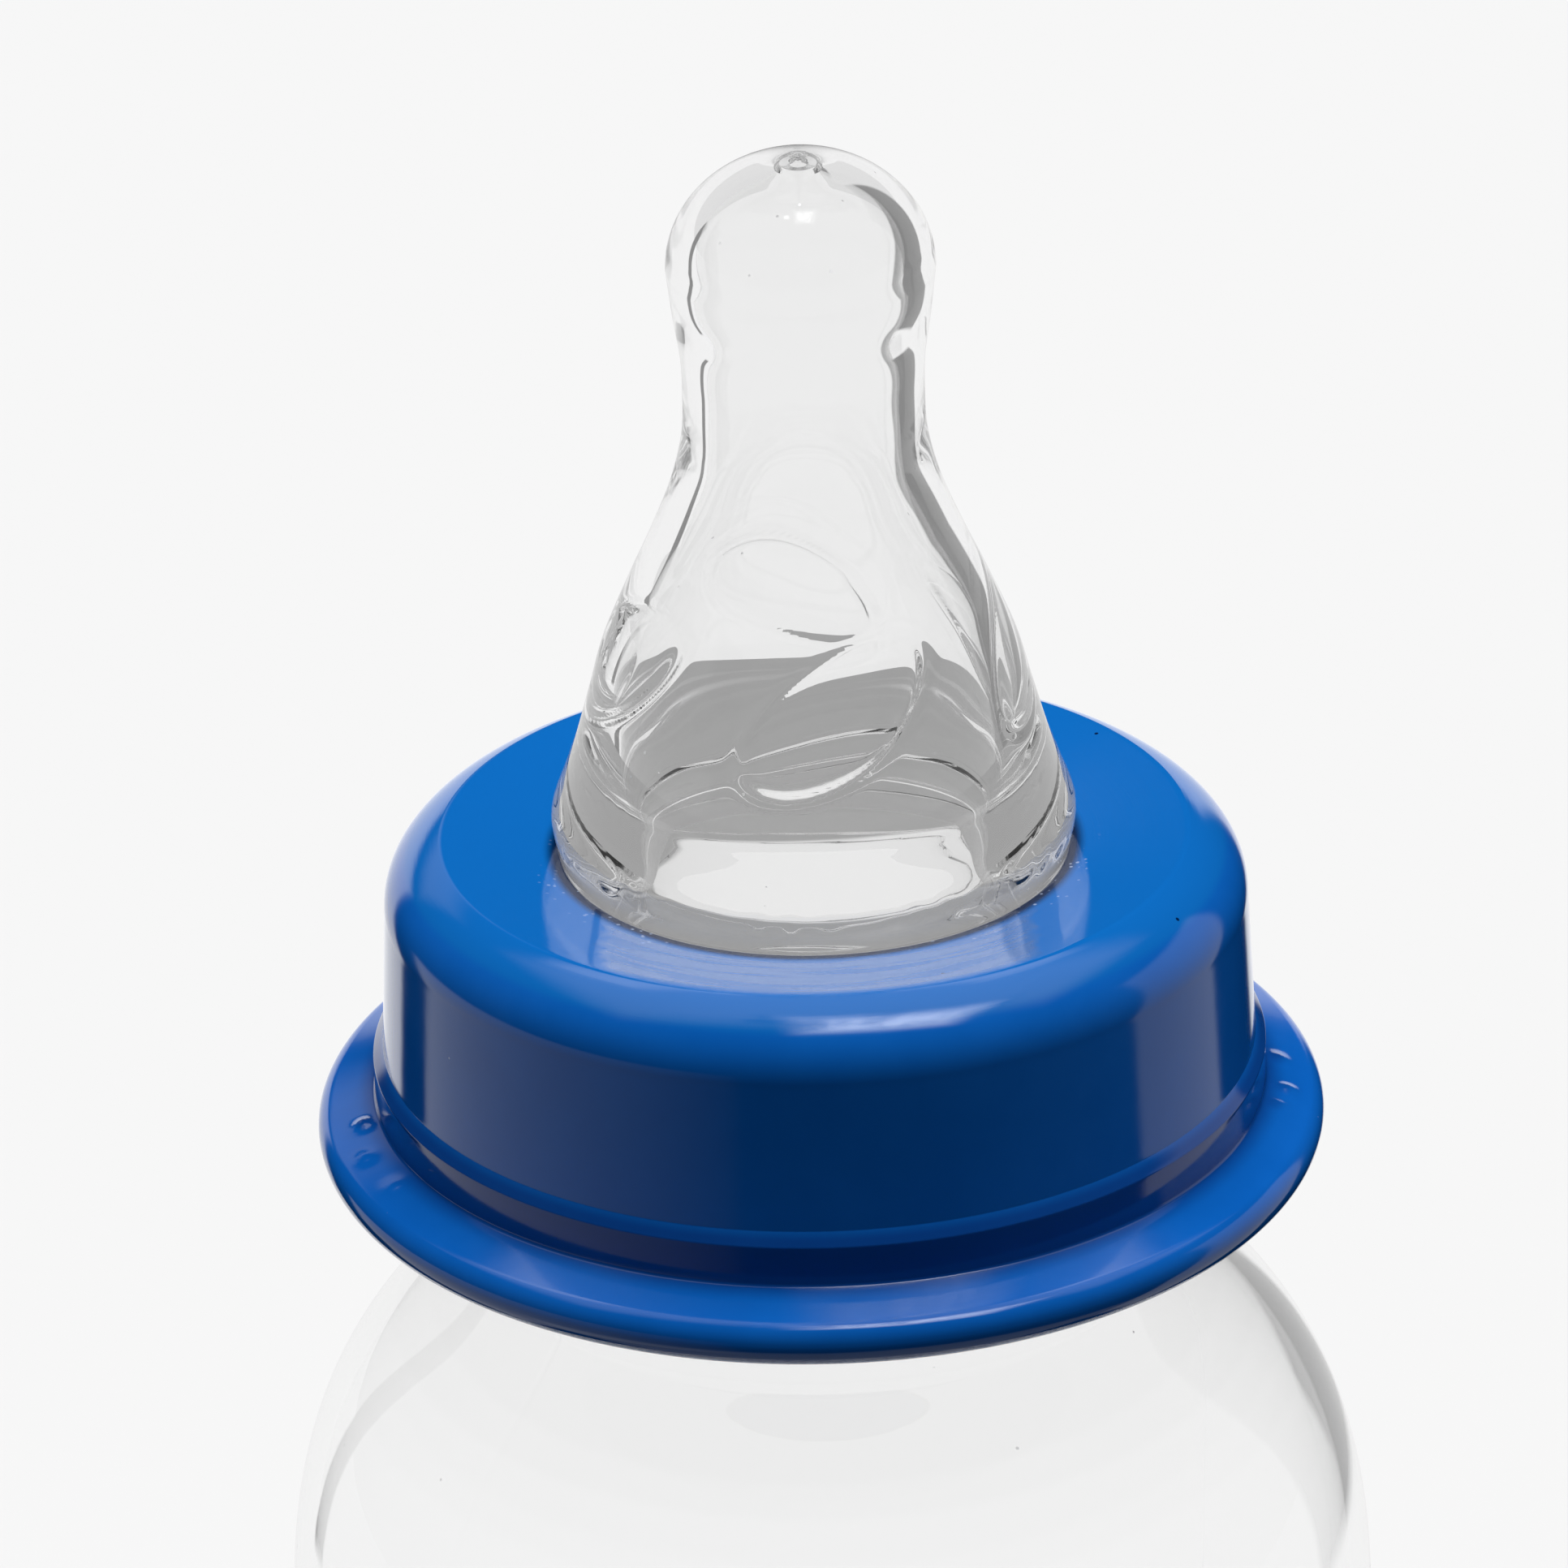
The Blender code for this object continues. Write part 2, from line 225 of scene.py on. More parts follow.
def node(tree, kind, inputs=None, **settings):
    """A shader node. Each input is a value, or the output socket that feeds it."""
    made = tree.nodes.new(kind)
    for name, value in settings.items():
        setattr(made, name, value)
    for key, value in (inputs or {}).items():
        if isinstance(value, bpy.types.NodeSocket):
            tree.links.new(value, made.inputs[key])
        else:
            made.inputs[key].default_value = value
    return made


def calc(tree, operation, *values):
    """The output of a Math node."""
    return node(tree, "ShaderNodeMath", dict(enumerate(values)), operation=operation).outputs[0]


def product(tree, first, *others):
    """The product of two or more values."""
    for other in others:
        first = calc(tree, "MULTIPLY", first, other)
    return first


def noise(tree, place, scale, detail=2.0, roughness=0.5):
    inputs = {"Vector": place, "Scale": scale, "Detail": detail, "Roughness": roughness}
    return node(tree, "ShaderNodeTexNoise", inputs).outputs["Fac"]


def ramp(tree, value, low, high, out_low=0.0, out_high=1.0):
    """An easy change from one output to the other between two values."""
    inputs = {0: value, 1: low, 2: high, 3: out_low, 4: out_high}
    return node(tree, "ShaderNodeMapRange", inputs, interpolation_type="SMOOTHSTEP").outputs[0]


def ramp_mm(tree, length, low, high, out_low=0.0, out_high=1.0):
    """A ramp between two lengths in millimetres."""
    return ramp(tree, length, low * MM, high * MM, out_low, out_high)


def ring_ramp(tree, height, low, high, out_low=0.0, out_high=1.0):
    """A ramp between two heights in millimetres above the ring's underside."""
    return ramp(tree, height, RING_BASE + low * MM, RING_BASE + high * MM, out_low, out_high)


def specks(tree, place, scale, size, share):
    """A mask of tiny round specks: one in some of the cells of a Voronoi pattern."""
    cells = node(tree, "ShaderNodeTexVoronoi", {"Vector": place, "Scale": scale})
    random_share = node(tree, "ShaderNodeSeparateColor", {0: cells.outputs["Color"]}).outputs[0]
    near = ramp(tree, cells.outputs["Distance"], size * 0.6, size, 1.0, 0.0)
    return product(tree, near, calc(tree, "LESS_THAN", random_share, share))


def radius_of(tree, x, y):
    """The distance from the axis."""
    return calc(tree, "SQRT", calc(tree, "ADD", product(tree, x, x), product(tree, y, y)))


def polar_place(tree, place, around, outward, upward):
    """A vector of angle, radius and height, each scaled, for marks that follow the turning."""
    x, y, z = node(tree, "ShaderNodeSeparateXYZ", {0: place}).outputs
    inputs = {
        0: product(tree, calc(tree, "ARCTAN2", y, x), around),
        1: product(tree, radius_of(tree, x, y), outward),
        2: product(tree, z, upward),
    }
    return node(tree, "ShaderNodeCombineXYZ", inputs).outputs[0]


def bump(tree, height, strength, distance, normal=None):
    """A normal that follows a height, with its distance in millimetres."""
    inputs = {"Strength": strength, "Distance": distance * MM, "Height": height}
    if normal is not None:
        inputs["Normal"] = normal
    return node(tree, "ShaderNodeBump", inputs).outputs[0]


def blend_colours(tree, share, first, second):
    """A blend of two colours. Each is its values, red, green and blue first, or an output socket."""
    colours = [c if isinstance(c, bpy.types.NodeSocket) else (*c[:3], 1) for c in (first, second)]
    inputs = {0: share, 6: colours[0], 7: colours[1]}
    return node(tree, "ShaderNodeMix", inputs, data_type="RGBA").outputs[2]


def mix_shaders(tree, share, first, second):
    """A mix of two shader nodes."""
    return node(tree, "ShaderNodeMixShader", {0: share, 1: first.outputs[0], 2: second.outputs[0]})


def new_material(name):
    """An empty material, its node tree, and the place on the object that its patterns follow."""
    material = bpy.data.materials.new(name)
    material.use_nodes = True
    tree = material.node_tree
    tree.nodes.clear()
    place = node(tree, "ShaderNodeTexCoord").outputs["Object"]
    return material, tree, place


def set_surface(tree, shader):
    node(tree, "ShaderNodeOutputMaterial", {0: shader.outputs[0]})


# ---------------------------------------------------------------- the ring's plastic

# Linear colours.
RING_BLUES = ((0.003, 0.100, 0.43), (0.004, 0.110, 0.46))
DISH_BLUE = (0.004, 0.126, 0.45)
# Painted shade: a dark blue for the step above the flange, under the overhanging wall.
PAINTED_STEP_SHADE_BLUE = (0.003, 0.015, 0.12)
# Painted shadow: a near-black blue for the shadow on the dish where the teat's lip sits.
PAINTED_CONTACT_SHADOW_BLUE = (0.001, 0.006, 0.03)
PIT_BLUE = (0.001, 0.012, 0.06)
DUST_BLUE = (0.5, 0.6, 0.8)

# Strengths of the coat outside its patch of painted reflection, and of the painted glowing grey at the
# front, elsewhere and low down.
FAINT_COAT = 0.1
PAINTED_GLOW_GREYS = (0.58, 0.35)
PAINTED_GLOW_EXTRA = 0.5

# Soft edges, each from one length to another in millimetres: heights above the ring's underside,
# distances from the axis, distances to the side, and distances toward the back.
DISH_HEIGHTS = (15.2, 15.6)
# Painted shade in the step above the flange, between these heights.
STEP_SHADE_FOOT = (2.7, 3.1)
STEP_SHADE_TOP = (5.3, 5.9)
# Painted contact shadow on the dish beside the teat's lip.
CONTACT_SHADOW_EDGE = (12.7, 13.4)
LINT_EDGE = (13.1, 14.6)
# Edges of the painted reflection patch at the front of the dish.
REFLECTION_PATCH_SIDE_EDGE = (10.6, 11.4)
REFLECTION_PATCH_INNER_EDGE = (12.9, 13.6)
REFLECTION_PATCH_OUTER_EDGE = (17.5, 18.3)
REFLECTION_PATCH_WOBBLE = 1.6
# Edges of the painted glowing grey.
PAINTED_GLOW_FRONT = (-13, -9)
PAINTED_GLOW_BACK = (-4, 0)
PAINTED_GLOW_LOW = (3.2, 4.0)


def ring_surface(tree, place, on_dish):
    """Turning marks on the dish, fine scratches everywhere, and a faint orange peel."""
    round_dish = polar_place(tree, place, around=1.2, outward=9000.0, upward=300.0)
    turning = noise(tree, round_dish, scale=1.0, detail=3.0, roughness=0.7)
    every_way = polar_place(tree, place, around=60.0, outward=700.0, upward=900.0)
    scratches = noise(tree, every_way, scale=1.0, detail=4.0, roughness=0.75)
    marks = calc(tree, "ADD", product(tree, turning, on_dish), product(tree, scratches, 0.35))
    marked = bump(tree, marks, strength=0.12, distance=0.02)
    peel = noise(tree, place, scale=500.0, detail=1.0)
    return bump(tree, peel, strength=0.1, distance=0.05, normal=marked)


def ring_dust(tree, place, outward, on_dish, haze):
    """A mask of dust all over, with patchy lint on the dish beside the teat's lip."""
    dust = product(tree, specks(tree, place, scale=900.0, size=0.07, share=0.05), 0.5)
    near_lip = product(tree, on_dish, ramp_mm(tree, outward, *LINT_EDGE, out_low=0.5, out_high=0.0))
    lint = product(tree, near_lip, specks(tree, place, scale=2600.0, size=0.3, share=0.35))
    return calc(tree, "MAXIMUM", dust, product(tree, lint, ramp(tree, haze, 0.45, 0.6)))


def ring_colour(tree, place, height, outward, on_dish, haze):
    """Blue, with painted shade in the step above the flange and a painted contact shadow beside the lip,
    with pits and dust.
    """
    # Painted shade: the step between the flange and the wall is darkened, where they shade it.
    above_flange = ring_ramp(tree, height, *STEP_SHADE_FOOT)
    under_wall = ring_ramp(tree, height, *STEP_SHADE_TOP, out_low=0.6, out_high=0.0)
    step_shade = product(tree, above_flange, under_wall)
    # Painted contact shadow: the dish is darkened close round the teat's lip.
    contact_shadow = ramp_mm(tree, outward, *CONTACT_SHADOW_EDGE, out_low=0.95, out_high=0.0)
    lip_shadow = product(tree, on_dish, contact_shadow)
    pits = specks(tree, place, scale=700.0, size=0.09, share=0.06)
    dust = ring_dust(tree, place, outward, on_dish, haze)
    colour = blend_colours(tree, ramp(tree, haze, 0.3, 0.7), *RING_BLUES)
    colour = blend_colours(tree, on_dish, colour, DISH_BLUE)
    colour = blend_colours(tree, step_shade, colour, PAINTED_STEP_SHADE_BLUE)
    colour = blend_colours(tree, lip_shadow, colour, PAINTED_CONTACT_SHADOW_BLUE)
    colour = blend_colours(tree, pits, colour, PIT_BLUE)
    return blend_colours(tree, dust, colour, DUST_BLUE)


def dish_coat_and_painted_reflection(tree, place, sideways, toward_back, outward, on_dish):
    """How strongly the dish is coated: faintly all over, and strongly in a patch at the front with a
    wavy edge, which paints a reflected bright band there.
    """
    wobble = product(tree, noise(tree, place, scale=900.0, detail=3.0), REFLECTION_PATCH_WOBBLE * MM)
    reach = calc(tree, "ADD", calc(tree, "ABSOLUTE", sideways), wobble)
    round_dish = polar_place(tree, place, around=1.5, outward=1100.0, upward=0.0)
    streaks = noise(tree, round_dish, scale=1.0, detail=3.0, roughness=0.6)
    reflection_patch = product(
        tree,
        calc(tree, "LESS_THAN", toward_back, 0.0),
        ramp_mm(tree, reach, *REFLECTION_PATCH_SIDE_EDGE, out_low=1.0, out_high=0.0),
        ramp_mm(tree, outward, *REFLECTION_PATCH_INNER_EDGE),
        ramp_mm(tree, outward, *REFLECTION_PATCH_OUTER_EDGE, out_low=1.0, out_high=0.0),
        ramp(tree, streaks, low=0.38, high=0.56, out_low=0.65),
    )
    return product(tree, on_dish, calc(tree, "MAXIMUM", reflection_patch, FAINT_COAT))


def painted_glow_shader(tree, height, toward_back):
    """Painted light: a glowing light grey, brightest at the front, and low down at the back."""
    grey = ramp_mm(tree, toward_back, *PAINTED_GLOW_FRONT, *PAINTED_GLOW_GREYS)
    low_down = ring_ramp(tree, height, *PAINTED_GLOW_LOW, out_low=PAINTED_GLOW_EXTRA, out_high=0.0)
    pale = product(tree, low_down, ramp_mm(tree, toward_back, *PAINTED_GLOW_BACK))
    return node(tree, "ShaderNodeEmission", {"Strength": calc(tree, "ADD", grey, pale)})


def blue_plastic():
    """Glossy moulded plastic with a turned, finely scratched top and tiny dark pits.

    Rays that have been through a clear piece get a glowing light grey instead: painted light, in place
    of the lit blue.
    """
    material, tree, place = new_material("blue_gloss_plastic")
    sideways, toward_back, height = node(tree, "ShaderNodeSeparateXYZ", {0: place}).outputs
    outward = radius_of(tree, sideways, toward_back)
    on_dish = ring_ramp(tree, height, *DISH_HEIGHTS)
    haze = noise(tree, place, scale=160.0, detail=4.0, roughness=0.6)
    smooth = ramp(tree, haze, low=0.35, high=0.75, out_low=0.075, out_high=0.12)
    surface = ring_surface(tree, place, on_dish)
    inputs = {
        "Base Color": ring_colour(tree, place, height, outward, on_dish, haze),
        "Roughness": calc(tree, "SUBTRACT", smooth, product(tree, on_dish, 0.01)),
        "Normal": surface,
        "IOR": 1.5,
        "Specular IOR Level": calc(tree, "SUBTRACT", 0.5, product(tree, on_dish, 0.25)),
        # Painted reflection: a strong coat with a high IOR, only in a patch at the front of the dish,
        # shows a bright reflected band there.
        "Coat Weight": dish_coat_and_painted_reflection(tree, place, sideways, toward_back, outward, on_dish),
        "Coat Roughness": 0.07,
        "Coat IOR": 3.2,
        "Coat Normal": surface,
    }
    blue = node(tree, "ShaderNodeBsdfPrincipled", inputs)
    # Painted light: a glowing grey, in place of the lit blue, for rays that came through a clear piece.
    painted_glow = painted_glow_shader(tree, height, toward_back)
    through_clear = node(tree, "ShaderNodeLightPath").outputs["Transmission Depth"]
    set_surface(tree, mix_shaders(tree, through_clear, blue, painted_glow))
    return material


# ---------------------------------------------------------------- the clear materials

CLEAR_DUST = (0.85, 0.86, 0.88, 1)
SHADOW_TINT = (0.93, 0.93, 0.93, 1)


def clear_material(name, ior, colour, roughness, wave, dust_share, bands=()):
    """A clear plastic or silicone. Shadow rays pass through it, so that it casts only a faint shadow.

    Each band tints the material from one height to another, in millimetres, and on above it; the
    bottle's bands are painted reflection.
    """
    material, tree, place = new_material(name)
    height = node(tree, "ShaderNodeSeparateXYZ", {0: place}).outputs[2]
    haze = noise(tree, place, scale=130.0, detail=4.0, roughness=0.6)
    swell = noise(tree, place, scale=220.0)
    tint = (*colour, 1)
    for low, high, shade in bands:
        tint = blend_colours(tree, ramp_mm(tree, height, low, high), tint, shade)
    inputs = {
        "Base Color": tint,
        "Roughness": ramp(tree, haze, low=0.4, high=0.8, out_low=roughness, out_high=roughness * 2.5),
        "Transmission Weight": 1.0,
        "IOR": ior,
        "Normal": bump(tree, swell, strength=wave, distance=0.1),
    }
    clear = node(tree, "ShaderNodeBsdfPrincipled", inputs)
    dust = node(tree, "ShaderNodeBsdfPrincipled", {"Base Color": CLEAR_DUST, "Roughness": 0.6})
    dusty = product(tree, specks(tree, place, scale=800.0, size=0.08, share=dust_share), 0.6)
    see_through = node(tree, "ShaderNodeBsdfTransparent", {0: SHADOW_TINT})
    shadow = node(tree, "ShaderNodeLightPath").outputs["Is Shadow Ray"]
    set_surface(tree, mix_shaders(tree, shadow, mix_shaders(tree, dusty, clear, dust), see_through))
    return material


# ---------------------------------------------------------------- the screw ring

RING_BORE_RADIUS = 19.3
RING_BORE_EDGE = 3.0
RING_HOLE_RADIUS = 11.3
RING_ROOF = 13.6
RING_SPACING = 0.22
RING_SIDES = 384
FLANGE_EDGE_RUN = 1.15
FLANGE_EDGE_HEIGHT = 1.3
FLANGE_EDGE_FLAT = (1.25, 1.35)
RING_WALL = ((24.25, 2.42, 0), (22.1, 3.05, 0.22), (22.1, 5.1, 0.15), (21.6, 5.7, 0.1))
RING_CORNER = (16.2, 13.1)
RING_CORNER_RUN = 5.0
RING_CORNER_RISE = 3.7
HOLE_BEVEL = (11.75, 15.5, 0.25)
HOLE_EDGE = (11.3, 15.2, 0.3)

# Blemishes on top of the flange, as (angle, distance from the axis, height).
BLEMISHES = (
    (3.32, 22.9, 0.3),
    (3.45, 23.5, 0.16),
    (3.6, 23.2, 0.12),
    (-0.12, 23.2, 0.26),
    (0.02, 22.8, 0.2),
    (-0.2, 22.9, 0.14),
)
BLEMISH_WIDTH = 0.9
FLANGE_TOP_RADIUS = 22.3
FLANGE_TOP_HEIGHT = 1.6


def ring_outline():
    """The ring's section, from the inner edge of its underside round to the start again."""
    edge = (FLANGE_RADIUS - FLANGE_EDGE_RUN, FLANGE_EDGE_HEIGHT)
    corner = arc(RING_CORNER, RING_CORNER_RUN, RING_CORNER_RISE, start=0, end=65, steps=40)
    bore = (RING_BORE_RADIUS, RING_BORE_EDGE, 0)
    roof = (RING_HOLE_RADIUS, RING_ROOF, 0)
    outline = rounded([bore, (RING_BORE_RADIUS, 0.0, 0.3), (edge[0], 0.0, 0)])
    outline += arc(edge, FLANGE_EDGE_RUN, FLANGE_EDGE_HEIGHT, start=-90, end=-4, steps=12)
    outline += [(FLANGE_RADIUS, height) for height in FLANGE_EDGE_FLAT]
    outline += arc(edge, FLANGE_EDGE_RUN, FLANGE_EDGE_RUN, start=4, end=62, steps=10)
    outline += rounded([*RING_WALL, (*corner[0], 0)])[1:-1]
    outline += corner
    outline += rounded([(*corner[-1], 0), HOLE_BEVEL, HOLE_EDGE, roof])[1:]
    outline += rounded([roof, (RING_BORE_RADIUS, RING_ROOF, 0.4), bore])[1:]
    return refined(outline[:-1], RING_SPACING)


def ring_relief(angle, radius, height, outward):
    """The thread in the bore, and the blemishes on the flange."""
    inside = (outward < -0.5) & (radius > RING_BORE_RADIUS - 1)
    flange_top = (radius > FLANGE_TOP_RADIUS) & (height > FLANGE_TOP_HEIGHT)
    relief = np.where(inside, thread_relief(angle, height + RING_BASE / MM, **RING_THREAD), 0.0)
    for at_angle, at_radius, tall in BLEMISHES:
        across = at_radius * angle_from(angle, at_angle)
        away = (across**2 + (radius - at_radius) ** 2) / (BLEMISH_WIDTH / 2) ** 2
        relief = relief + np.where(flange_top, tall * np.exp(-away), 0.0)
    return relief


def build_ring():
    angles = even_angles(RING_SIDES)
    ring = turned("ring_blue", ring_outline(), RING_BASE, angles, ring_relief, closed=True)
    ring.data.materials.append(blue_plastic())
    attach(ring, "ring")
    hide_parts("screw_ring")
    return ring


# ---------------------------------------------------------------- the teat

TEAT_SPACING = 0.3
CAVITY_SPACING = 0.18
TEAT_SIDES = 400
TEAT_FOOT = (
    (12.0, 0.0, 0),
    (18.2, 0.0, 0.4),
    (18.2, 1.6, 0.4),
    (11.0, 1.6, 0.3),
    (11.0, 3.7, 0.15),
    (12.5, 3.9, 0.15),
    (12.75, 5.2, 0),
)
TEAT_OUTSIDE = (
    (12.75, 5.2),
    (12.8, 6.1),
    (12.2, 7.8),
    (11.5, 9.8),
    (10.8, 12.2),
    (10.1, 14.7),
    (8.84, 17.7),
    (7.47, 20.7),
    (6.48, 23.2),
    (5.88, 25.7),
    (5.78, 27.7),
    (5.82, 29.6),
    (6.11, 31.6),
    (6.4, 34.1),
)
TEAT_CAVITY = (
    (4.95, 34.3),
    (4.9, 32.3),
    (4.48, 30.3),
    (4.48, 28.4),
    (4.65, 24.9),
    (5.0, 22.9),
    (5.9, 20.6),
    (7.9, 16.4),
    (9.1, 12.0),
    (9.6, 8.6),
    (9.6, 7.4),
)
TEAT_BORE = ((9.6, 7.4, 0), (9.6, 4.0, 0.3), (9.5, 0.0, 0.1), (12.0, 0.0, 0))

# The feed hole, and the pocket under it, by the distance from the axis and the depth below the tip.
FEED_HOLE = ((0.3, 0.03), (0.22, 0.2), (0.1, 0.6), (0.28, 0.95))
FEED_POCKET = ((0.28, 0.95, 0), (0.85, 1.0, 0.1), (1.0, 1.35, 0.1), (1.6, 1.55, 0))
TIP_THICKNESS = 1.35
ROOF_ANGLE = 68

PAD_ANGLES = tuple(math.radians(-83 + 90 * quarter) for quarter in range(4))
BACK_PAD = PAD_ANGLES[2]
PAD_HEIGHT = 14.1
PAD_HALF_LENGTH = 5.2
PAD_HALF_WIDTH = 2.6
PAD_TILT = math.radians(32)
PAD_DEPTH = 0.4
PAD_BEAD_WIDTH = 0.25
PAD_BEAD_HEIGHT = 0.14
BEAD_LOW_SHARE = 0.3
BACK_BEAD_LOW = 0.08
BACK_BEAD_RISE = 0.2
PAD_ZONE = (5, 24)
LIP_EDGE_RADIUS = 12.6
LIP_EDGE_ZONE = (5.4, 6.3)
LIP_RAGGEDNESS = 0.015


def teat_outline():
    """The teat's section, from its underside up the outside, round the tip and down the cavity."""
    top = TEAT_HEIGHT
    bulb_radius, bulb_height = TEAT_OUTSIDE[-1]
    roof_radius, roof_height = TEAT_CAVITY[0]
    outline = rounded(TEAT_FOOT)
    outline += through(TEAT_OUTSIDE, TEAT_SPACING)[1:]
    outline += arc((0.0, bulb_height), bulb_radius, top - bulb_height, start=0, end=90, steps=36)[1:-3]
    outline += [(radius, top - depth) for radius, depth in FEED_HOLE]
    outline += rounded([(radius, top - depth, fillet) for radius, depth, fillet in FEED_POCKET])[1:-1]
    roof_rise = top - TIP_THICKNESS - roof_height
    outline += arc((0.0, roof_height), roof_radius, roof_rise, start=ROOF_ANGLE, end=0, steps=26)
    outline += through(TEAT_CAVITY, CAVITY_SPACING)[1:]
    outline += rounded(TEAT_BORE)[1:-1]
    return refined(outline, TEAT_SPACING)


def pad_relief(angle, radius, height, pad_angle):
    """A tilted oval, sunk in the middle, with a bead round it that is lower on one side."""
    across = radius * angle_from(angle, pad_angle)
    up = height - PAD_HEIGHT
    along = (across * math.cos(PAD_TILT) + up * math.sin(PAD_TILT)) / PAD_HALF_LENGTH
    athwart = (up * math.cos(PAD_TILT) - across * math.sin(PAD_TILT)) / PAD_HALF_WIDTH
    share = np.sqrt(along**2 + athwart**2)
    if pad_angle == BACK_PAD:
        tall = BACK_BEAD_LOW + BACK_BEAD_RISE * smooth_step(0.5 + athwart)
    else:
        low, rise = BEAD_LOW_SHARE, 1 - BEAD_LOW_SHARE
        tall = PAD_BEAD_HEIGHT * (low + rise * smooth_step(0.5 - athwart))
    bead = tall * np.exp(-(((share - 1) * PAD_HALF_WIDTH / PAD_BEAD_WIDTH) ** 2))
    return bead - PAD_DEPTH * np.clip(1 - share**2, 0, 1)


def teat_relief(angle, radius, height, outward):
    """Four pads in the cavity's wall, and a lip whose edge is a little ragged."""
    in_cavity = (outward < -0.3) & (height > PAD_ZONE[0]) & (height < PAD_ZONE[1])
    on_lip = (radius > LIP_EDGE_RADIUS) & (height > LIP_EDGE_ZONE[0]) & (height < LIP_EDGE_ZONE[1])
    pads = sum(pad_relief(angle, radius, height, pad_angle) for pad_angle in PAD_ANGLES)
    ragged = LIP_RAGGEDNESS * np.sin(37 * angle + 1.3 * np.sin(11 * angle)) * np.sin(5 * angle + 0.7)
    return np.where(in_cavity, pads, 0.0) + np.where(on_lip, ragged, 0.0)


def build_teat():
    angles = even_angles(TEAT_SIDES)
    teat = turned("teat_silicone", teat_outline(), TEAT_BASE, angles, teat_relief, closed=True)
    silicone = clear_material(
        "clear_silicone",
        ior=1.41,
        colour=(0.95, 0.95, 0.95),
        roughness=0.012,
        wave=0.05,
        dust_share=0.05,
    )
    teat.data.materials.append(silicone)
    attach(teat, "teat")
    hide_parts("teat")
    return teat


# ---------------------------------------------------------------- the bottle

# Painted reflection: grey tints from one height up to another, in millimetres, which stand in for the
# arcs that the foot of the neck throws in the shoulder.
PAINTED_NECK_REFLECTION_BANDS = ((118.8, 119.4, (0.96, 0.96, 0.96)), (121.7, 122.1, (0.93, 0.93, 0.93)))
MOULD_LINES = (math.radians(222), math.radians(42))
MOULD_LINE_HEIGHT = 0.05
MOULD_LINE_WIDTH = 0.12
BODY_TOP = 105.0
NECK_FOOT = 126.6
NECK_RADIUS = 17.6
MOUTH_RADIUS = 15.5
BOTTLE_WALL = 1.4
HEEL_RADIUS = 6.0
INNER_HEEL_RADIUS = 4.6
INNER_HEEL_HEIGHT = 6.6
PUSH_UP_RADIUS = 18.5
PUSH_UP_HEIGHT = 2.2
FLOOR_THICKNESS = 2.0
NECK_SPACING = 0.2
BODY_SPACING = 1.5
BOTTLE_SIDES = 320


def push_up(shares, lift):
    """The domed middle of the base, from the axis outward."""
    return [(PUSH_UP_RADIUS * s, lift + PUSH_UP_HEIGHT * (1 - s * s)) for s in shares]


def bottle_outline():
    """Outside from the middle of the base up to the rim, then down the inside to the floor."""
    inner = BODY_RADIUS - BOTTLE_WALL
    mouth_foot = (MOUTH_RADIUS, NECK_FOOT - 1.2)
    shoulder = [
        (BODY_RADIUS, BODY_TOP),
        (BODY_RADIUS, BODY_TOP + 14.2),
        (NECK_RADIUS + 3.4, NECK_FOOT - 5.0),
        (NECK_RADIUS, NECK_FOOT),
    ]
    neck = [
        (NECK_RADIUS, NECK_FOOT, 0),
        (NECK_RADIUS, RIM, 0.5),
        (MOUTH_RADIUS, RIM, 0.5),
        (*mouth_foot, 0),
    ]
    inner_shoulder = [mouth_foot, (19.1, NECK_FOOT - 6.2), (inner, BODY_TOP + 13.4), (inner, BODY_TOP)]
    heel_start = (BODY_RADIUS - HEEL_RADIUS, 0.0, 0)
    heel = (BODY_RADIUS - HEEL_RADIUS, HEEL_RADIUS)
    inner_heel = (inner - INNER_HEEL_RADIUS, INNER_HEEL_HEIGHT)
    shares = np.linspace(0, 1, 30)
    outline = push_up(shares, 0.0)
    outline += rounded([(PUSH_UP_RADIUS, 0.0, 0), (PUSH_UP_RADIUS + 0.1, 0.0, 0.05), heel_start])[1:-1]
    outline += arc(heel, HEEL_RADIUS, HEEL_RADIUS, start=-90, end=0, steps=24)
    outline += bezier(shoulder, steps=60)
    outline += rounded(neck)[1:-1]
    outline += bezier(inner_shoulder, steps=60)
    outline += arc(inner_heel, INNER_HEEL_RADIUS, INNER_HEEL_RADIUS, start=0, end=-90, steps=20)
    outline += push_up(shares[::-1], FLOOR_THICKNESS)
    return split_by_height(outline)


def split_by_height(line):
    """Finer steps on the neck, which carries the thread, than on the plain body."""
    points = [line[0]]
    for start, end in zip(line, line[1:]):
        on_neck = min(start[1], end[1]) > NECK_FOOT - 1
        points += refined([start, end], NECK_SPACING if on_neck else BODY_SPACING)[1:]
    return points


def bottle_relief(angle, radius, height, outward):
    """The thread on the neck, and two mould lines up the outside."""
    outside = outward > 0.2
    on_line = outside & (height < NECK_FOOT + 4)
    relief = np.where(outside & (height > NECK_FOOT), thread_relief(angle, height, **NECK_THREAD), 0.0)
    for seam in MOULD_LINES:
        across = radius * angle_from(angle, seam)
        ridge = MOULD_LINE_HEIGHT * np.exp(-((across / MOULD_LINE_WIDTH) ** 2))
        relief = relief + np.where(on_line, ridge, 0.0)
    return relief


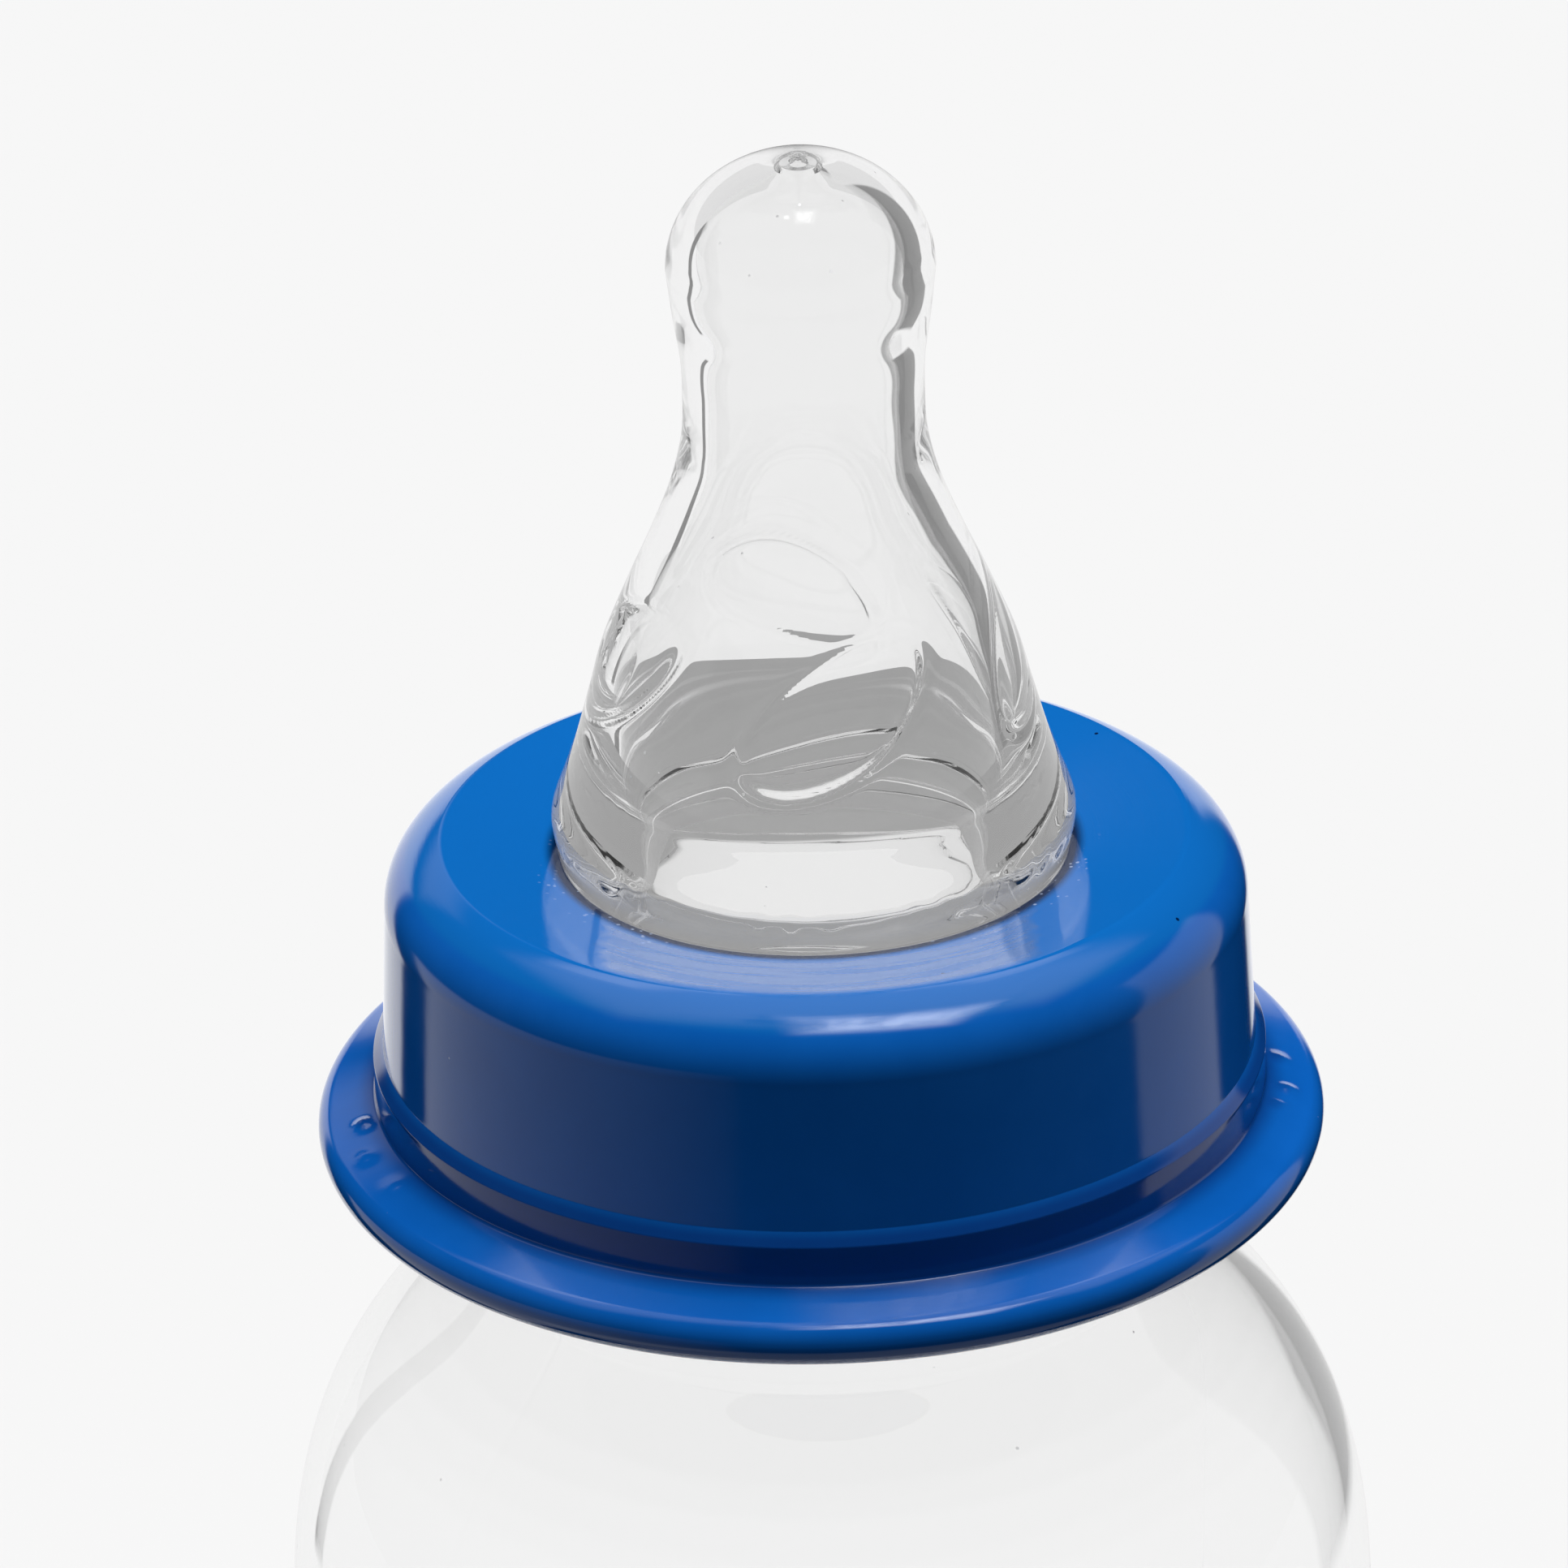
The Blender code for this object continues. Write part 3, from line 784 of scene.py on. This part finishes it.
def build_bottle():
    angles = even_angles(BOTTLE_SIDES, MOULD_LINES)
    bottle = turned("bottle_clear", bottle_outline(), 0.0, angles, bottle_relief)
    clear = clear_material(
        "clear_plastic",
        ior=1.49,
        colour=(0.98, 0.98, 0.98),
        roughness=0.012,
        wave=0.04,
        dust_share=0.02,
        bands=PAINTED_NECK_REFLECTION_BANDS,
    )
    bottle.data.materials.append(clear)
    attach(bottle, "bottle")
    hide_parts("bottle")
    return bottle


# ---------------------------------------------------------------- studio

PALE = 0.94
MIDDLE = Vector((0.0, 0.0, 0.14))
FAR = 1.5
NEAR = 0.2
CEILING = 1.0
FRONT_FILL = 0.03
SIDE_FILL = 0.75
SIDE_FALLOFF = 4.0
SUN_POWER = 4.0
SUN_ANGLE = 50
SUN_TILT = 4
FLOOR_TONE = 0.68
FLOOR_RADIUS = 6.0
FLOOR_SIDES = 128
FLOOR_DROP = 0.05
CARD_COLUMNS = 48
CARD_ROWS = 24


def on_sphere(azimuth, elevation, distance):
    """A place on a sphere round the ring, by degrees: azimuth 0 is in front, and 90 on the right."""
    a, e = math.radians(azimuth), math.radians(elevation)
    direction = Vector((math.sin(a) * math.cos(e), -math.cos(a) * math.cos(e), math.sin(e)))
    return MIDDLE + direction * distance


def far_round(azimuth, elevation):
    return on_sphere(azimuth, elevation, FAR)


def near_round(azimuth, elevation):
    return on_sphere(azimuth, elevation, NEAR)


def on_ceiling(x, y):
    """A place on a level sheet above the ring, in metres to the right and to the back."""
    return MIDDLE + Vector((x, y, CEILING))


# Cards: name, where they lie, their two spans there, their brightness, which may change from one end of
# the first span to the other, and the width of their soft edge in the units of the spans.
RING_CARDS = (
    ("lit_background", far_round, (156, 220), (-60, 12.5), (1.1, 1.25), 4),
    ("left_reflector", far_round, (-126, -20), (-60, -6), (0.85, 0.03), 3),
    ("right_reflector", far_round, (88, 128), (-60, 28), (0.6, 0.6), 3),
    ("left_sheen", far_round, (183, 222), (14, 36), (0.45, 0.45), 8),
    ("rear_softbox", far_round, (140, 225), (48, 66), (1.4, 1.4), 6),
    ("floor_bounce", far_round, (-90, 90), (-89, -45), (0.35, 0.35), 6),
    ("strip_light", on_ceiling, (-0.15, 0.6), (-0.56, 0.02), (9.0, 9.0), 0.27),
    ("overhead_panel", on_ceiling, (-0.9, 1.1), (-0.4, 0.8), (0.9, 0.9), 0.4),
)
CLEAR_CARDS = (
    ("pale_surround", far_round, (-180, 180), (-90, 90), (0.86, 0.86), 0.01),
    ("lamp_a", on_ceiling, (-0.1, 0.22), (-0.32, 0.0), (11.0, 11.0), 0.16),
    ("lamp_b", on_ceiling, (-0.2, -0.1), (-0.2, -0.1), (8.0, 8.0), 0.05),
)
DARK_CARDS = (
    ("dark_right", near_round, (116, 157), (-27, 45), (0.22, 0.22), 2.5),
    ("dark_left", near_round, (-136, -129), (-27, 25), (0.2, 0.2), 0.8),
)


def card_mesh(name, place, across, along, light, fade):
    """A grid of quads that holds its brightness and its soft-edged opacity at each point."""
    places, shares, powers = [], [], []
    for row in range(CARD_ROWS + 1):
        for column in range(CARD_COLUMNS + 1):
            u = across[0] + (across[1] - across[0]) * column / CARD_COLUMNS
            v = along[0] + (along[1] - along[0]) * row / CARD_ROWS
            inset = min(u - across[0], across[1] - u, v - along[0], along[1] - v)
            places.append(place(u, v))
            shares.append(float(smooth_step(inset / fade)))
            powers.append(light[0] + (light[1] - light[0]) * column / CARD_COLUMNS)
    faces = []
    for row in range(CARD_ROWS):
        for column in range(CARD_COLUMNS):
            first = row * (CARD_COLUMNS + 1) + column
            faces.append((first, first + 1, first + CARD_COLUMNS + 2, first + CARD_COLUMNS + 1))
    mesh = bpy.data.meshes.new(name)
    mesh.from_pydata(places, [], faces)
    mesh.attributes.new("share", "FLOAT", "POINT").data.foreach_set("value", shares)
    mesh.attributes.new("power", "FLOAT", "POINT").data.foreach_set("value", powers)
    return mesh


def card_material(name, in_gloss):
    """Added light for a card that is seen in gloss, and a soft-edged cover for any other."""
    material, tree, _ = new_material(name)
    power = node(tree, "ShaderNodeAttribute", attribute_name="power").outputs["Fac"]
    share = node(tree, "ShaderNodeAttribute", attribute_name="share").outputs["Fac"]
    clear = node(tree, "ShaderNodeBsdfTransparent")
    if in_gloss:
        glow = node(tree, "ShaderNodeEmission", {"Strength": product(tree, power, share)})
        shader = node(tree, "ShaderNodeAddShader", {0: clear.outputs[0], 1: glow.outputs[0]})
    else:
        glow = node(tree, "ShaderNodeEmission", {"Strength": power})
        shader = mix_shaders(tree, share, clear, glow)
    set_surface(tree, shader)
    material.cycles.emission_sampling = "NONE"
    return material


def build_card(lit_pieces, in_gloss, name, place, across, along, light, fade):
    """A soft-edged card that some pieces show in their gloss, or that is seen through the clear ones."""
    mesh = card_mesh(name, place, across, along, light, fade)
    mesh.materials.append(card_material(name, in_gloss))
    made = bpy.data.objects.new(name, mesh)
    bpy.context.scene.collection.objects.link(made)
    made.visible_camera = False
    made.visible_diffuse = False
    made.visible_shadow = False
    made.visible_volume_scatter = False
    made.visible_glossy = in_gloss
    made.visible_transmission = not in_gloss
    receivers = bpy.data.collections.new(name + "_lights")
    for piece in lit_pieces:
        receivers.objects.link(piece)
    made.light_linking.receiver_collection = receivers


def build_cards(ring, clear_pieces):
    for row in RING_CARDS:
        build_card([ring], True, *row)
    for row in CLEAR_CARDS:
        build_card(clear_pieces, True, *row)
    for row in DARK_CARDS:
        build_card(clear_pieces, False, *row)


def build_sun():
    """A wide overhead light."""
    sun = bpy.data.lights.new("overhead_softbox", "SUN")
    sun.angle = math.radians(SUN_ANGLE)
    sun.energy = SUN_POWER
    lamp = bpy.data.objects.new("overhead_softbox", sun)
    lamp.rotation_euler = (math.radians(-SUN_TILT), math.radians(SUN_TILT), 0.0)
    lamp.visible_glossy = False
    lamp.visible_transmission = False
    bpy.context.scene.collection.objects.link(lamp)


def build_world():
    """Pale to the eye, dark in reflections, and a fill light that is stronger from the two sides."""
    world = bpy.data.worlds.new("studio")
    bpy.context.scene.world = world
    world.use_nodes = True
    world.cycles.sampling_method = "NONE"
    tree = world.node_tree
    tree.nodes.clear()
    path = node(tree, "ShaderNodeLightPath")
    seen = calc(tree, "MAXIMUM", path.outputs["Is Camera Ray"], path.outputs["Is Transmission Ray"])
    direction = node(tree, "ShaderNodeTexCoord").outputs["Generated"]
    sideways = node(tree, "ShaderNodeSeparateXYZ", {0: direction}).outputs[0]
    sides = calc(tree, "POWER", calc(tree, "ABSOLUTE", sideways), SIDE_FALLOFF)
    light = calc(tree, "ADD", product(tree, sides, SIDE_FILL), FRONT_FILL)
    fill = product(tree, path.outputs["Is Diffuse Ray"], light)
    strength = calc(tree, "ADD", product(tree, seen, PALE), fill)
    background = node(tree, "ShaderNodeBackground", {"Strength": strength})
    node(tree, "ShaderNodeOutputWorld", {0: background.outputs[0]})


def build_floor():
    """A pale matt floor just under the bottle, that nothing reflects."""
    place = (0, 0, -FLOOR_DROP * MM)
    bpy.ops.mesh.primitive_circle_add(
        vertices=FLOOR_SIDES,
        radius=FLOOR_RADIUS,
        fill_type="NGON",
        location=place,
    )
    floor = bpy.context.active_object
    floor.name = "floor"
    material, tree, _ = new_material("pale_floor")
    pale = (FLOOR_TONE, FLOOR_TONE, FLOOR_TONE, 1)
    set_surface(tree, node(tree, "ShaderNodeBsdfDiffuse", {"Color": pale}))
    floor.data.materials.append(material)
    floor.visible_glossy = False
    floor.visible_diffuse = False


# ---------------------------------------------------------------- camera and film

CAMERA_PITCH = math.radians(25.086)
CAMERA_ROLL = math.radians(-1.5)
CAMERA_DISTANCE = 356.36
CAMERA_SHIFT = -1.42
TARGET_HEIGHT = 150.6
LENS = 167.7
SENSOR_WIDTH = 36.0
BOUNCES = 24
GLOSSY_BOUNCES = 12
TRANSPARENT_BOUNCES = 16


def build_camera():
    """The front view, looking down at the ring through a long lens."""
    camera = bpy.data.objects.new("camera", bpy.data.cameras.new("camera"))
    camera.data.lens = LENS
    camera.data.sensor_width = SENSOR_WIDTH
    camera.data.clip_start = 0.01
    target = Vector((0.0, 0.0, TARGET_HEIGHT * MM))
    distance = CAMERA_DISTANCE * MM
    away = (CAMERA_SHIFT * MM, -math.cos(CAMERA_PITCH) * distance, math.sin(CAMERA_PITCH) * distance)
    turn = Matrix.Rotation(math.pi / 2 - CAMERA_PITCH, 4, "X") @ Matrix.Rotation(CAMERA_ROLL, 4, "Z")
    camera.matrix_world = Matrix.Translation(target + Vector(away)) @ turn
    bpy.context.scene.collection.objects.link(camera)
    bpy.context.scene.camera = camera


def set_film():
    """Plain tones, and enough bounces for light to get through every clear wall."""
    scene = bpy.context.scene
    scene.view_settings.view_transform = "Standard"
    scene.cycles.max_bounces = BOUNCES
    scene.cycles.transmission_bounces = BOUNCES
    scene.cycles.transparent_max_bounces = TRANSPARENT_BOUNCES
    scene.cycles.glossy_bounces = GLOSSY_BOUNCES


build_camera()
build_world()
build_floor()
bottle = build_bottle()
ring = build_ring()
teat = build_teat()
build_sun()
build_cards(ring, [bottle, teat])
set_film()

bpy.context.view_layer.update()
